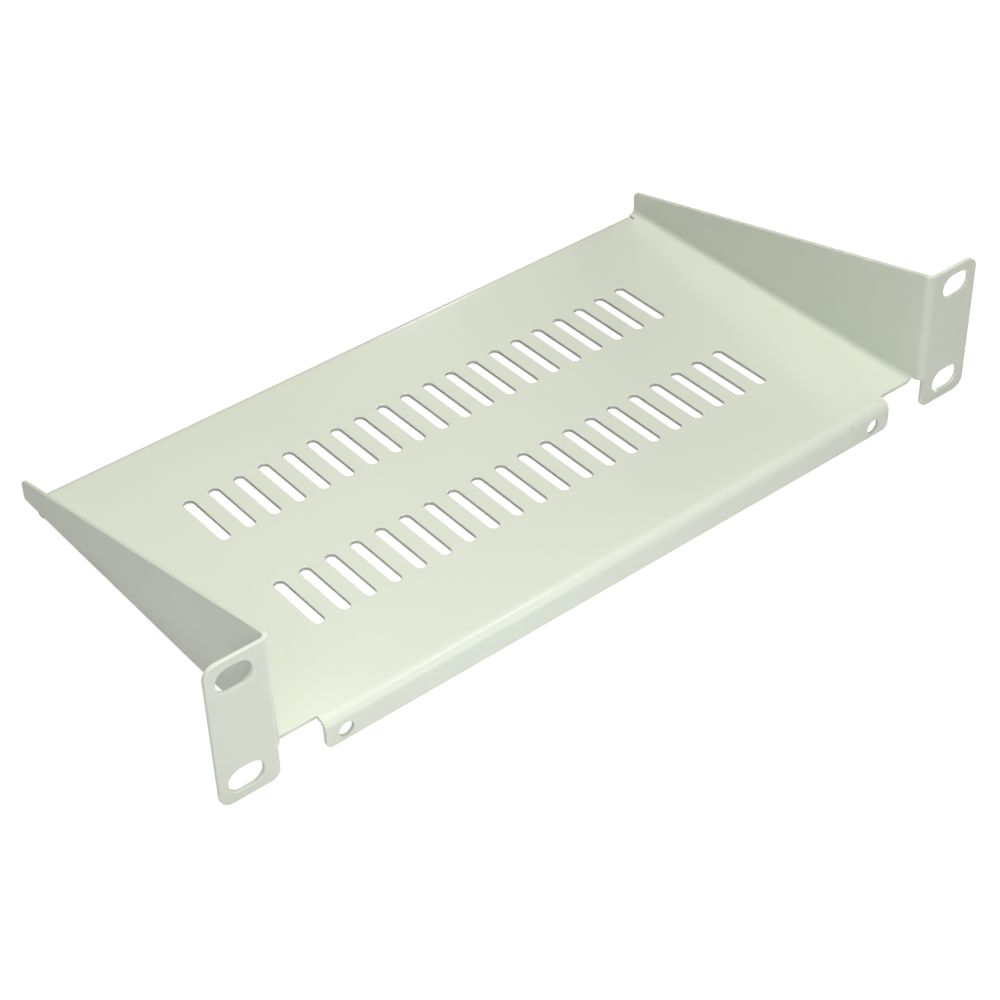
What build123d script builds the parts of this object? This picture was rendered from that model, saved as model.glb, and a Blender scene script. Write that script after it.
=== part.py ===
from build123d import *
import os

os.makedirs("parts", exist_ok=True)

# Vented shelf for a ten-inch equipment rack, folded from one sheet of steel. Millimetres.
# Origin: centre of the four rail bolts, on the back face of the ears, where they bear on the rails.
# X runs to the right, Y to the rear, Z up.

# Sheet and bends
sheet = 1.2                     # thickness
inside_bend = 1.8               # inner radius of the four bends out of the tray
ear_inside_bend = 1.2           # inner radius of the bends from the side walls to the ears

# Ears, one rack unit high, with the rack's own spacing between their bolts
bolt_span = 236.525             # side to side between the bolt columns
bolt_rise = 31.75               # lower bolt to upper bolt
bolt_slot_length = 10.0
bolt_slot_height = 7.0
ear_height = 44.0
ear_margin = 7.74               # ear's outer edge outside the bolts
ear_corner = 3.5                # radius of the outer corners

# Tray and side walls
wall_inset = 9.4                # side walls' outer faces inside the bolts
depth = 120.0                   # front face of the ears to the back of the rear flange
tray_rise = 8.8                 # tray's top face above the ears' lower edge
wall_rear_height = 7.2          # side wall above the tray at its rear end
wall_rear_corner = 2.0
wall_past_bend = 2.6            # side walls run this far past the start of the rear slits

# Front lip and rear flange, both folded down
lip_inset = 13.0                # lip's ends inside the side walls' outer faces
flange_drop = 9.0               # their lower edges below the tray's top face
lip_corner = 2.2                # radius of the lip's lower corners
flange_corner = 2.6             # radius of the rear flange's and the ears' inner corners

# Reliefs cut before folding
front_relief_depth = 3.6        # tray's front edge beside the lip, behind the ears' front face
ear_relief_width = 1.4          # ear's lower inner edge outside the side wall's inner face
ear_relief_rise = 0.7           # lower end of the ear's bend above the tray's top face
rear_relief = 0.6               # slit between side wall and rear flange

# Vent slots, long from front to back, in two rows across the tray
slot_count = 20
slot_pitch = 8.0
slot_length = 20.0
slot_width = 3.2
front_row = 39.0                # middle of the row behind the ears' front face
rear_row = 81.0

# Two round holes in the front lip
lip_hole = 4.3                  # diameter
lip_hole_inset = 6.0            # from the lip's ends
lip_hole_drop = 5.8             # below the tray's top face

# Places that follow from the sizes
outside_bend = inside_bend + sheet
ear_outside_bend = ear_inside_bend + sheet
middle_bend = inside_bend + sheet / 2
front = -sheet
rear = front + depth
tray_top = tray_rise - ear_height / 2
tray_middle = tray_top - sheet / 2
ear_outer = bolt_span / 2 + ear_margin
wall_outer = bolt_span / 2 - wall_inset
wall_inner = wall_outer - sheet
wall_middle = wall_outer - sheet / 2
bend_start = wall_outer - outside_bend
ear_flat = wall_inner + ear_outside_bend
ear_inner_edge = wall_inner + ear_relief_width
ear_relief_top = tray_top + ear_relief_rise
lip_end = wall_outer - lip_inset
lip_hole_span = 2 * (lip_end - lip_hole_inset)
notch_edge = front + front_relief_depth
rear_bend_start = rear - outside_bend - rear_relief
wall_rear = rear_bend_start + wall_past_bend

with BuildPart() as shelf:
    # Tray and side walls: one channel section, run from the front notches to the rear
    with BuildSketch(Plane.XZ.offset(-notch_edge)):
        with BuildLine():
            FilletPolyline(
                (-wall_middle, ear_height / 2),
                (-wall_middle, tray_middle),
                (wall_middle, tray_middle),
                (wall_middle, ear_height / 2),
                radius=middle_bend,
            )
        trace(line_width=sheet)
    extrude(amount=notch_edge - wall_rear)

    # Ear bend: plan section of the quarter turn out of the side wall, down to the relief
    with BuildSketch(Plane.XY.offset(ear_relief_top)):
        with BuildLine():
            Line((wall_inner, notch_edge), (wall_inner, front + ear_outside_bend))
            CenterArc((ear_flat, front + ear_outside_bend), ear_outside_bend, 180, 90)
            Line((ear_flat, front), (ear_flat, front + sheet))
            CenterArc((ear_flat, front + ear_outside_bend), ear_inside_bend, 180, 90)
            Line((wall_outer, front + ear_outside_bend), (wall_outer, notch_edge))
            Line((wall_outer, notch_edge), (wall_inner, notch_edge))
        make_face()
    extrude(amount=ear_height / 2 - ear_relief_top)

    # Ear plate: seen from the front, with the step of the relief on its inner side
    with BuildSketch(Plane.XZ.offset(-front)) as ear_view:
        with BuildLine():
            Polyline(
                (ear_flat, ear_height / 2),
                (ear_outer, ear_height / 2),
                (ear_outer, -ear_height / 2),
                (ear_inner_edge, -ear_height / 2),
                (ear_inner_edge, ear_relief_top),
                (ear_flat, ear_relief_top),
                close=True,
            )
        make_face()
        fillet(ear_view.vertices().group_by(Axis.X)[-1], radius=ear_corner)
        fillet(ear_view.vertices().group_by(Axis.Y)[0].sort_by(Axis.X)[0], radius=flange_corner)
    extrude(amount=-sheet)
    mirror(about=Plane.YZ)

    # The side walls fall in a straight line from the ear bends to the low rear corners
    with BuildSketch(Plane.YZ):
        with BuildLine():
            Polyline(
                (front + ear_outside_bend, ear_height / 2),
                (wall_rear, ear_height / 2),
                (wall_rear, tray_top + wall_rear_height),
                close=True,
            )
        make_face()
    extrude(amount=wall_outer, both=True, mode=Mode.SUBTRACT)
    rear_corners = shelf.edges().filter_by(Axis.X).group_by(Axis.Y)[-1].group_by(Axis.Z)[-1]
    fillet(rear_corners, radius=wall_rear_corner)

    # Room for the rear bend, cut back to the ends of its two slits
    with BuildSketch(Plane.XY.offset(tray_top - sheet)):
        with BuildLine():
            Polyline(
                (-bend_start, rear_bend_start),
                (bend_start, rear_bend_start),
                (bend_start, wall_rear),
                (-bend_start, wall_rear),
                close=True,
            )
        make_face()
    extrude(amount=sheet, mode=Mode.SUBTRACT)

    # Rear flange: side section of the bend and the flat below it
    with BuildSketch(Plane.YZ):
        with BuildLine():
            FilletPolyline(
                (rear_bend_start, tray_middle),
                (rear - sheet / 2, tray_middle),
                (rear - sheet / 2, tray_top - flange_drop),
                radius=middle_bend,
            )
        trace(line_width=sheet)
    extrude(amount=bend_start - rear_relief, both=True)

    # Front lip: the same fold towards the front, shorter than the tray
    with BuildSketch(Plane.YZ):
        with BuildLine():
            FilletPolyline(
                (notch_edge, tray_middle),
                (front + sheet / 2, tray_middle),
                (front + sheet / 2, tray_top - flange_drop),
                radius=middle_bend,
            )
        trace(line_width=sheet)
    extrude(amount=lip_end, both=True)
    flange_edges = shelf.edges().filter_by(Axis.Y).filter_by_position(Axis.X, -bend_start, bend_start)
    lower_edges = flange_edges.filter_by_position(Axis.Z, tray_top - flange_drop, tray_top - outside_bend)
    fillet(lower_edges.group_by(Axis.Y)[0], radius=lip_corner)
    fillet(lower_edges.group_by(Axis.Y)[-1], radius=flange_corner)

    # Vent slots
    for row in (front_row, rear_row):
        with BuildSketch(Plane.XY.offset(tray_top)):
            with Locations((0, front + row)):
                with GridLocations(slot_pitch, 0, slot_count, 1):
                    SlotOverall(slot_length, slot_width, rotation=90)
        extrude(amount=-sheet, mode=Mode.SUBTRACT)

    # Slotted holes for the four rail bolts
    with BuildSketch(Plane.XZ.offset(-front)):
        with GridLocations(bolt_span, bolt_rise, 2, 2):
            SlotOverall(bolt_slot_length, bolt_slot_height)
    extrude(amount=-sheet, mode=Mode.SUBTRACT)

    # Round holes near the ends of the front lip
    with BuildSketch(Plane.XZ.offset(-front)):
        with Locations((0, tray_top - lip_hole_drop)):
            with GridLocations(lip_hole_span, 0, 2, 1):
                Circle(lip_hole / 2)
    extrude(amount=-sheet, mode=Mode.SUBTRACT)

shelf.part.label = "shelf"
export_step(shelf.part, "parts/shelf.step")
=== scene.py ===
import math
import bmesh
import bpy
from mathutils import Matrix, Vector


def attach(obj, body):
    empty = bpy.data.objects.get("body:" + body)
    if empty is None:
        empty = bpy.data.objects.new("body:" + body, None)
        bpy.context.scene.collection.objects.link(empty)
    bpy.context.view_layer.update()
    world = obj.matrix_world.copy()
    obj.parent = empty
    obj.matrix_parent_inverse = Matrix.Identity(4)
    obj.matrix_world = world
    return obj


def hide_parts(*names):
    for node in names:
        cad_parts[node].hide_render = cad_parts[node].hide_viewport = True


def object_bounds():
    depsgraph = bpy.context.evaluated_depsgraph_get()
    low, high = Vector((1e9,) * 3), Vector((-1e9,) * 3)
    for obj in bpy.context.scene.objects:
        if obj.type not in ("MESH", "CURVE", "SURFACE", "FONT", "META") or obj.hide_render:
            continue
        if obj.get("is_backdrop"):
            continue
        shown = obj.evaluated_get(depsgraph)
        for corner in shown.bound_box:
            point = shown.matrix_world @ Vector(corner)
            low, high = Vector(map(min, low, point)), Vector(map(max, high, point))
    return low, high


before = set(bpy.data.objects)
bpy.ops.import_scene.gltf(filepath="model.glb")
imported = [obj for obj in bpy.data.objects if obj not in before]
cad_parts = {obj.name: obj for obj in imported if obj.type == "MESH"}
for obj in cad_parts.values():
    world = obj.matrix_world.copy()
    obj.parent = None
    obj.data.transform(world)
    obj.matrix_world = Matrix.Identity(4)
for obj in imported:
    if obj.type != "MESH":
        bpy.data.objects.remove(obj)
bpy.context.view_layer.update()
print("frame loaded")

cameraLook = {
    "place": (-0.29427, -0.32322, 0.36367),     # metres, as everything here
    "turn": (51.994, 1.897, -38.359),           # degrees
    "lens": 80.95,                              # mm on a 36 mm sensor
    "shift": (0.04, -0.06),
}


def addCamera(look):
    camera = bpy.data.objects.new("camera", bpy.data.cameras.new("camera"))
    bpy.context.scene.collection.objects.link(camera)
    camera.location = look["place"]
    camera.rotation_euler = [math.radians(angle) for angle in look["turn"]]
    camera.data.sensor_width = 36
    camera.data.lens = look["lens"]
    camera.data.shift_x, camera.data.shift_y = look["shift"]
    camera.data.clip_start = 0.01
    bpy.context.scene.camera = camera


addCamera(cameraLook)
print("camera placed")

coat = {
    "color": (0.708, 0.750, 0.664),
    "tone": 0.02,               # share by which the color drifts over the sheet
    "toneSize": 0.060,
    "roughness": 0.16,
    "roughnessDrift": 0.03,
    "peelSize": 0.0024,         # waves of the baked powder's skin
    "peelDepth": 0.000012,
    "grainSize": 0.00045,
    "grainDepth": 0.0000050,
    "nibSpacing": 0.0034,       # grains of dust under the coat
    "nibRadius": 0.00030,
    "nibDepth": 0.00002,
    "soil": (0.52, 0.54, 0.47),
    "spotCore": 0.3,            # share of a spot's radius at its full strength
}

soilSpots = {                   # place in metres, radius, share of the soil's color
    "speck": ((-0.0717, 0.0257, -0.0132), 0.00035, 0.5),
    "faintSpeck": ((-0.0009, 0.0200, -0.0132), 0.00045, 0.12),
    "lipSmudge": ((0.0814, -0.0010, -0.0153), 0.00110, 0.35),
}


def powderCoat(look):
    material = bpy.data.materials.new("powderCoat")
    material.use_nodes = True
    nodes, links = material.node_tree.nodes, material.node_tree.links
    shader = nodes["Principled BSDF"]
    place = nodes.new("ShaderNodeTexCoord").outputs["Object"]

    def noise(size, detail):
        made = nodes.new("ShaderNodeTexNoise")
        made.inputs["Scale"].default_value = 1 / size
        made.inputs["Detail"].default_value = detail
        links.new(place, made.inputs["Vector"])
        return made.outputs["Fac"]

    def spread(value, start, end, low, high, smooth=False):
        made = nodes.new("ShaderNodeMapRange")
        made.clamp = smooth
        made.interpolation_type = "SMOOTHSTEP" if smooth else "LINEAR"
        for name, number in (("From Min", start), ("From Max", end), ("To Min", low), ("To Max", high)):
            made.inputs[name].default_value = number
        links.new(value, made.inputs["Value"])
        return made.outputs["Result"]

    def blend(first, second, share):
        made = nodes.new("ShaderNodeMix")
        made.data_type = "RGBA"
        # Sockets 6, 7 and output 2 are the color ones, which share their names with the others
        for socket, value in ((made.inputs[6], first), (made.inputs[7], second)):
            if isinstance(value, tuple):
                socket.default_value = (*value, 1)
            else:
                links.new(value, socket)
        links.new(share, made.inputs["Factor"])
        return made.outputs[2]

    def bump(height, depth, under=None):
        made = nodes.new("ShaderNodeBump")
        made.inputs["Strength"].default_value = 1
        made.inputs["Distance"].default_value = depth
        links.new(height, made.inputs["Height"])
        if under:
            links.new(under, made.inputs["Normal"])
        return made.outputs["Normal"]

    darker = tuple(value * (1 - look["tone"]) for value in look["color"])
    lighter = tuple(value * (1 + look["tone"]) for value in look["color"])
    color = blend(darker, lighter, noise(look["toneSize"], 2))
    for spot, radius, share in soilSpots.values():
        away = nodes.new("ShaderNodeVectorMath")
        away.operation = "DISTANCE"
        away.inputs[1].default_value = spot
        links.new(place, away.inputs[0])
        core = radius * look["spotCore"]
        color = blend(color, look["soil"], spread(away.outputs["Value"], core, radius, share, 0, True))
    links.new(color, shader.inputs["Base Color"])
    middle, drift = look["roughness"], look["roughnessDrift"]
    gloss = spread(noise(look["toneSize"] / 3, 2), 0, 1, middle - drift, middle + drift)
    links.new(gloss, shader.inputs["Roughness"])
    nibs = nodes.new("ShaderNodeTexVoronoi")
    nibs.inputs["Scale"].default_value = 1 / look["nibSpacing"]
    links.new(place, nibs.inputs["Vector"])
    nibEdge = look["nibRadius"] / look["nibSpacing"]
    normal = bump(noise(look["peelSize"], 1), look["peelDepth"])
    normal = bump(noise(look["grainSize"], 1), look["grainDepth"], normal)
    normal = bump(spread(nibs.outputs["Distance"], 0, nibEdge, 1, 0, True), look["nibDepth"], normal)
    links.new(normal, shader.inputs["Normal"])
    return material


powderCoatMaterial = powderCoat(coat)

tray = {
    "level": -0.0138,           # Z of the middle of the sheet
    "halfWidth": 0.1058625,     # to where the side bends start
    "front": 0.0024,            # tray's edge in the front notches
    "rear": 0.1152,             # ends of the rear slits
}

vents = {
    "Slot count": 20,           # in each row
    "Slot pitch": 0.0080,
    "Slot length": 0.0200,
    "Slot width": 0.0032,
    "Front row": 0.0378,        # Y of the rows' middles
    "Rear row": 0.0798,
    "Corner steps": 6,
}


def ventTree(material):
    # A grid of two rows of slot rims is laid inside the outline, and what lies between is filled
    tree = bpy.data.node_groups.new("ventRows", "GeometryNodeTree")
    tree.interface.new_socket("Outline", in_out="INPUT", socket_type="NodeSocketGeometry")
    for name, value in vents.items():
        kind = "NodeSocketInt" if isinstance(value, int) else "NodeSocketFloat"
        tree.interface.new_socket(name, in_out="INPUT", socket_type=kind)
    tree.interface.new_socket("Level", in_out="INPUT", socket_type="NodeSocketFloat")
    tree.interface.new_socket("Tray", in_out="OUTPUT", socket_type="NodeSocketGeometry")
    given = tree.nodes.new("NodeGroupInput")
    result = tree.nodes.new("NodeGroupOutput")

    def node(kind, **settings):
        made = tree.nodes.new(kind)
        for key, value in settings.items():
            setattr(made, key, value)
        return made

    def join(output, socket):
        tree.links.new(output, socket)

    def worked(operation, first, second):
        made = node("ShaderNodeMath", operation=operation)
        for socket, value in zip(made.inputs, (first, second)):
            if isinstance(value, (int, float)):
                socket.default_value = value
            else:
                join(value, socket)
        return made.outputs[0]

    # One slot's rim
    rim = node("GeometryNodeCurvePrimitiveQuadrilateral")
    join(given.outputs["Slot width"], rim.inputs["Width"])
    join(given.outputs["Slot length"], rim.inputs["Height"])
    rounded = node("GeometryNodeFilletCurve")
    rounded.mode = "POLY"
    join(rim.outputs[0], rounded.inputs["Curve"])
    join(given.outputs["Corner steps"], rounded.inputs["Count"])
    join(worked("MULTIPLY", given.outputs["Slot width"], 0.5), rounded.inputs["Radius"])
    rounded.inputs["Limit Radius"].default_value = True

    # Both rows' places
    places = node("GeometryNodeMeshGrid")
    steps = worked("SUBTRACT", given.outputs["Slot count"], 1)
    join(worked("MULTIPLY", steps, given.outputs["Slot pitch"]), places.inputs["Size X"])
    join(worked("SUBTRACT", given.outputs["Rear row"], given.outputs["Front row"]), places.inputs["Size Y"])
    join(given.outputs["Slot count"], places.inputs["Vertices X"])
    places.inputs["Vertices Y"].default_value = 2
    middle = node("ShaderNodeCombineXYZ")
    rows = worked("ADD", given.outputs["Rear row"], given.outputs["Front row"])
    join(worked("MULTIPLY", rows, 0.5), middle.inputs["Y"])
    moved = node("GeometryNodeTransform")
    join(places.outputs["Mesh"], moved.inputs["Geometry"])
    join(middle.outputs[0], moved.inputs["Translation"])
    rims = node("GeometryNodeInstanceOnPoints")
    join(moved.outputs[0], rims.inputs["Points"])
    join(rounded.outputs[0], rims.inputs["Instance"])
    singled = node("GeometryNodeRealizeInstances")
    join(rims.outputs[0], singled.inputs[0])

    # Sheet between the outline and the rims
    outline = node("GeometryNodeMeshToCurve")
    join(given.outputs["Outline"], outline.inputs["Mesh"])
    together = node("GeometryNodeJoinGeometry")
    join(outline.outputs[0], together.inputs[0])
    join(singled.outputs[0], together.inputs[0])
    filled = node("GeometryNodeFillCurve")
    join(together.outputs[0], filled.inputs["Curve"])
    height = node("ShaderNodeCombineXYZ")
    join(given.outputs["Level"], height.inputs["Z"])
    raised = node("GeometryNodeTransform")
    join(filled.outputs[0], raised.inputs["Geometry"])
    join(height.outputs[0], raised.inputs["Translation"])
    realized = node("GeometryNodeRealizeInstances")
    join(raised.outputs[0], realized.inputs[0])
    coated = node("GeometryNodeSetMaterial")
    join(realized.outputs[0], coated.inputs["Geometry"])
    coated.inputs["Material"].default_value = material
    join(coated.outputs[0], result.inputs["Tray"])
    return tree


def ventedTray(lipEnd, flangeEnd, material):
    halfWidth, front, rear = tray["halfWidth"], tray["front"], tray["rear"]
    outline = [(-halfWidth, front), (-lipEnd, front), (lipEnd, front), (halfWidth, front)]
    outline += [(halfWidth, rear), (flangeEnd, rear), (-flangeEnd, rear), (-halfWidth, rear)]
    ring = [(index, (index + 1) % len(outline)) for index in range(len(outline))]
    mesh = bpy.data.meshes.new("trayOutline")
    mesh.from_pydata([(x, y, 0) for x, y in outline], ring, [])
    holder = bpy.data.objects.new("trayOutline", mesh)
    bpy.context.scene.collection.objects.link(holder)
    tree = ventTree(material)
    modifier = holder.modifiers.new("ventRows", "NODES")
    modifier.node_group = tree
    for socket in tree.interface.items_tree:
        if socket.in_out == "INPUT" and socket.name in vents:
            modifier[socket.identifier] = vents[socket.name]
        elif socket.in_out == "INPUT" and socket.name == "Level":
            modifier[socket.identifier] = tray["level"]
    evaluated = holder.evaluated_get(bpy.context.evaluated_depsgraph_get())
    plain = bpy.data.meshes.new_from_object(evaluated)
    bpy.data.objects.remove(holder)
    return plain


sheet = {
    "thickness": 0.0012,
    "bend": 0.0024,             # radius at the middle of the sheet, out of the tray
    "bendSteps": 10,
    "cornerSteps": 6,
    "rounding": 0.00028,        # of the coated edges
    "roundingSteps": 3,
    "roundingAngle": 40,        # degrees, from which an edge is rounded
    "samePoint": 1e-7,          # points of an outline that lie nearer are one
    "joint": 2e-6,              # the same for the edges where two parts of the sheet meet
}

wall = {
    "across": 0.1082625,        # X of the middle of the sheet
    "front": 0.0012,            # where the ear's bend starts
    "rear": 0.1178,
    "frontTop": 0.0220,
    "rearTop": -0.0060,
    "rearCorner": 0.0020,
}

ear = {
    "level": -0.0006,           # Y of the middle of the sheet, as for the lip
    "bend": 0.0018,             # radius at the middle of the sheet, out of the side wall
    "outer": 0.1260025,
    "lowerInner": 0.1090625,
    "top": 0.0220,
    "bottom": -0.0220,
    "outerCorner": 0.0035,
    "innerCorner": 0.0026,
    "reliefStep": 7,            # step of the tray's side bend where the ear's bend ends
    "holeAcross": 0.1182625,
    "holeUp": 0.015875,
    "holeSize": (0.0100, 0.0070),
}

lip = {
    "halfWidth": 0.0958625,
    "bottom": -0.0222,
    "corner": 0.0022,
    "holeAcross": 0.0898625,
    "holeUp": -0.0190,
    "holeSize": (0.0043, 0.0043),
}

rearFlange = {
    "halfWidth": 0.1052625,
    "level": 0.1182,            # Y of the middle of the sheet
    "bottom": -0.0222,
    "corner": 0.0026,
}


def outlineOf(corners, steps):
    # Flat outline from (across, up, radius) corners, each with an arc where it has a radius
    outline = []
    for index, (across, up, radius) in enumerate(corners):
        corner = Vector((across, up))
        if not radius:
            outline.append(corner)
            continue
        back = (Vector(corners[index - 1][:2]) - corner).normalized()
        ahead = (Vector(corners[(index + 1) % len(corners)][:2]) - corner).normalized()
        half = back.angle(ahead) / 2
        center = corner + (back + ahead).normalized() * radius / math.sin(half)
        start = corner + back * radius / math.tan(half) - center
        end = corner + ahead * radius / math.tan(half) - center
        outline += [center + radius * start.slerp(end, step / steps) for step in range(steps + 1)]
    near = sheet["samePoint"]
    return [point for index, point in enumerate(outline) if (point - outline[index - 1]).length > near]


def holeOutline(across, up, size, steps):
    width, height = size[0] / 2, size[1] / 2
    corners = [(-width, -height), (width, -height), (width, height), (-width, height)]
    return outlineOf([(across + x, up + z, height) for x, z in corners], steps)


def addPanel(bm, outlines):
    # Flat piece of the sheet: the first outline less the others
    edges = []
    for outline in outlines:
        verts = [bm.verts.new(point) for point in outline]
        edges += [bm.edges.new((verts[index - 1], vert)) for index, vert in enumerate(verts)]
    bmesh.ops.triangle_fill(bm, edges=edges, use_beauty=True)


def addStrip(bm, rows):
    # Bent piece of the sheet: four-sided faces from row to row
    grid = [[bm.verts.new(point) for point in row] for row in rows]
    for first, second in zip(grid, grid[1:]):
        for index in range(len(first) - 1):
            bm.faces.new((first[index], first[index + 1], second[index + 1], second[index]))


def quarterTurn(radius):
    # (along, away) of a bend's points, as it leaves its start
    turns = [math.pi / 2 * step / sheet["bendSteps"] for step in range(sheet["bendSteps"] + 1)]
    return [(radius * math.sin(turn), radius * (1 - math.cos(turn))) for turn in turns]


def addSide(bm, side):
    # Bend out of the tray, side wall, bend out of the wall, and ear
    turn = quarterTurn(sheet["bend"])
    sideBend = [(side * (tray["halfWidth"] + along), tray["level"] + away) for along, away in turn]
    addStrip(bm, [[(x, y, z) for y in (tray["front"], tray["rear"], wall["rear"])] for x, z in sideBend])
    across, wallBottom = side * wall["across"], tray["level"] + sheet["bend"]
    wallCorners = [
        (wall["front"], wallBottom, 0),
        (tray["front"], wallBottom, 0),
        (tray["rear"], wallBottom, 0),
        (wall["rear"], wallBottom, 0),
        (wall["rear"], wall["rearTop"], wall["rearCorner"]),
        (wall["front"], wall["frontTop"], 0),
    ]
    addPanel(bm, [[(across, y, z) for y, z in outlineOf(wallCorners, sheet["cornerSteps"])]])
    joined = sideBend[ear["reliefStep"]:]
    addStrip(bm, [[(across, wall["front"], z) for x, z in joined], [(x, tray["front"], z) for x, z in joined]])
    levels = [z for x, z in joined] + [ear["top"]]
    turn = quarterTurn(ear["bend"])
    earBend = [(side * (wall["across"] + away), wall["front"] - along) for along, away in turn]
    addStrip(bm, [[(x, y, z) for z in levels] for x, y in earBend])
    earCorners = [(wall["across"] + ear["bend"], z, 0) for z in levels]
    earCorners += [
        (ear["outer"], ear["top"], ear["outerCorner"]),
        (ear["outer"], ear["bottom"], ear["outerCorner"]),
        (ear["lowerInner"], ear["bottom"], ear["innerCorner"]),
        (ear["lowerInner"], levels[0], 0),
    ]
    outlines = [outlineOf(earCorners, sheet["cornerSteps"])]
    for up in (-ear["holeUp"], ear["holeUp"]):
        outlines.append(holeOutline(ear["holeAcross"], up, ear["holeSize"], sheet["cornerSteps"]))
    addPanel(bm, [[(side * x, ear["level"], z) for x, z in outline] for outline in outlines])


def addFlange(bm, look, start, level, holes):
    # Bend down from the tray's edge at start, and the flat below it
    halfWidth, bottom, corner = look["halfWidth"], look["bottom"], look["corner"]
    ahead = 1 if level > start else -1
    bendStart = level - ahead * sheet["bend"]
    rows = [(start, tray["level"])]
    turn = quarterTurn(sheet["bend"])
    rows += [(bendStart + ahead * along, tray["level"] - away) for along, away in turn]
    addStrip(bm, [[(-halfWidth, y, z), (halfWidth, y, z)] for y, z in rows])
    top = tray["level"] - sheet["bend"]
    corners = [(-halfWidth, top, 0), (halfWidth, top, 0)]
    corners += [(halfWidth, bottom, corner), (-halfWidth, bottom, corner)]
    outlines = [outlineOf(corners, sheet["cornerSteps"])] + holes
    addPanel(bm, [[(x, level, z) for x, z in outline] for outline in outlines])


def foldedShelf():
    mesh = ventedTray(lip["halfWidth"], rearFlange["halfWidth"], powderCoatMaterial)
    bm = bmesh.new()
    bm.from_mesh(mesh)
    addSide(bm, -1)
    addSide(bm, 1)
    lipHoles = [
        holeOutline(side * lip["holeAcross"], lip["holeUp"], lip["holeSize"], sheet["cornerSteps"])
        for side in (-1, 1)
    ]
    addFlange(bm, lip, tray["front"], ear["level"], lipHoles)
    addFlange(bm, rearFlange, tray["rear"], rearFlange["level"], [])
    bmesh.ops.remove_doubles(bm, verts=bm.verts, dist=sheet["joint"])
    bmesh.ops.recalc_face_normals(bm, faces=bm.faces)
    bm.to_mesh(mesh)
    bm.free()
    mesh.name = "folded_shelf"
    mesh.shade_smooth()
    piece = bpy.data.objects.new("folded_shelf", mesh)
    bpy.context.scene.collection.objects.link(piece)
    thick = piece.modifiers.new("thickness", "SOLIDIFY")
    thick.thickness = sheet["thickness"]
    thick.offset = 0
    thick.use_even_offset = True
    rounded = piece.modifiers.new("coatedEdges", "BEVEL")
    rounded.width = sheet["rounding"]
    rounded.segments = sheet["roundingSteps"]
    rounded.limit_method = "ANGLE"
    rounded.angle_limit = math.radians(sheet["roundingAngle"])
    rounded.loop_slide = False
    rounded.use_clamp_overlap = False
    shading = piece.modifiers.new("flatShading", "WEIGHTED_NORMAL")
    shading.keep_sharp = True
    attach(piece, "root")
    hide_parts("shelf")


foldedShelf()
print("shelf folded")

studio = {
    "floorSize": 6.0,
    "floorColor": 0.8,          # as it lights the shelf
    "floorRoughness": 0.9,
    "shadowColor": 0.95,        # floor's color under the camera's share of its shading
    "shadowShare": 0.12,        # of the floor's shading that the camera sees
    "whiteStrength": 1.10,
    "worldStrength": 0.01,      # as the world lights the shelf
    "backdropStrength": 1,      # as the camera sees the world
}

# The first four light the shelf, lipFill lifts the front lip, and the glints draw the bright lines on two bends
lamps = {                       # place, size, watts, color
    "overhead": ((0.00, 0.05, 0.80), (0.30, 0.30), 4.03, (1, 0.975, 0.88)),
    "front": ((0.00, -0.33, 0.71), (0.30, 0.30), 1.75, (0.94, 0.97, 1)),
    "nearLeft": ((-0.25, -0.15, 0.20), (0.20, 0.20), 0.375, (0.98, 0.99, 1)),
    "rightLow": ((0.79, 0.05, 0.11), (0.30, 0.30), 3.60, (1, 0.985, 0.92)),
    "lipFill": ((-0.02, -0.10, -0.012), (0.14, 0.016), 0.0265, (0.93, 1, 1)),
    "glint": ((0.30, -0.25, 0.66), (0.20, 0.03), 0.36, (1, 1, 0.97)),
    "rearGlint": ((0.42, 0.69, 0.38), (0.05, 0.03), 0.15, (1, 1, 0.97)),
}
lampAim = (0, 0.05, 0)


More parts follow.
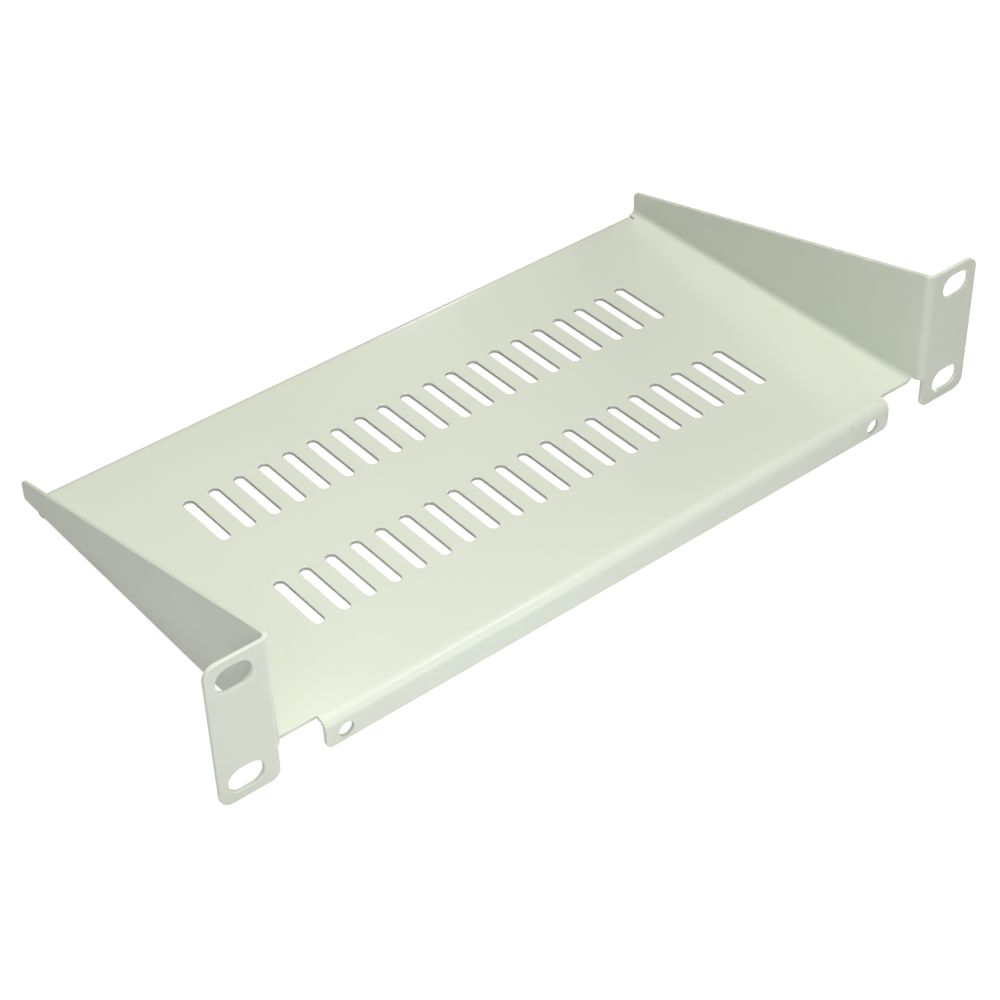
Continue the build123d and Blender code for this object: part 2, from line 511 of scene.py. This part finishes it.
def addFloor(look):
    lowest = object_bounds()[0][2]
    half = look["floorSize"] / 2
    mesh = bpy.data.meshes.new("floor")
    corners = [(-half, -half, lowest), (half, -half, lowest), (half, half, lowest), (-half, half, lowest)]
    mesh.from_pydata(corners, [], [(0, 1, 2, 3)])
    floor = bpy.data.objects.new("floor", mesh)
    bpy.context.scene.collection.objects.link(floor)
    material = bpy.data.materials.new("paleFloor")
    material.use_nodes = True
    nodes, links = material.node_tree.nodes, material.node_tree.links
    paper = nodes["Principled BSDF"]
    paper.inputs["Base Color"].default_value = (*[look["floorColor"]] * 3, 1)
    paper.inputs["Roughness"].default_value = look["floorRoughness"]
    bright = nodes.new("ShaderNodeBsdfDiffuse")
    bright.inputs["Color"].default_value = (*[look["shadowColor"]] * 3, 1)
    white = nodes.new("ShaderNodeEmission")
    white.inputs["Strength"].default_value = look["whiteStrength"]
    shown = nodes.new("ShaderNodeMixShader")
    shown.inputs["Fac"].default_value = look["shadowShare"]
    links.new(white.outputs[0], shown.inputs[1])
    links.new(bright.outputs[0], shown.inputs[2])
    seen = nodes.new("ShaderNodeLightPath")
    mix = nodes.new("ShaderNodeMixShader")
    links.new(seen.outputs["Is Camera Ray"], mix.inputs["Fac"])
    links.new(paper.outputs[0], mix.inputs[1])
    links.new(shown.outputs[0], mix.inputs[2])
    links.new(mix.outputs[0], nodes["Material Output"].inputs["Surface"])
    mesh.materials.append(material)
    floor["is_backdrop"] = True


def addWorld(look):
    world = bpy.data.worlds.new("studio")
    bpy.context.scene.world = world
    world.use_nodes = True
    nodes, links = world.node_tree.nodes, world.node_tree.links
    background = nodes["Background"]
    seen = nodes.new("ShaderNodeLightPath")
    strength = nodes.new("ShaderNodeMapRange")
    strength.inputs["To Min"].default_value = look["worldStrength"]
    strength.inputs["To Max"].default_value = look["backdropStrength"]
    background.inputs["Color"].default_value = (1, 1, 1, 1)
    links.new(seen.outputs["Is Camera Ray"], strength.inputs["Value"])
    links.new(strength.outputs["Result"], background.inputs["Strength"])


def addLamps(looks):
    for name, (place, size, watts, color) in looks.items():
        lamp = bpy.data.objects.new(name, bpy.data.lights.new(name, "AREA"))
        bpy.context.scene.collection.objects.link(lamp)
        lamp.data.shape = "RECTANGLE"
        lamp.data.size, lamp.data.size_y = size
        lamp.data.energy = watts
        lamp.data.color = color
        lamp.location = place
        beam = Vector(lampAim) - Vector(place)
        lamp.rotation_euler = beam.to_track_quat("-Z", "Y").to_euler()
        lamp.visible_camera = False


addFloor(studio)
addWorld(studio)
addLamps(lamps)
bpy.context.scene.view_settings.view_transform = "Standard"
print("studio lit")
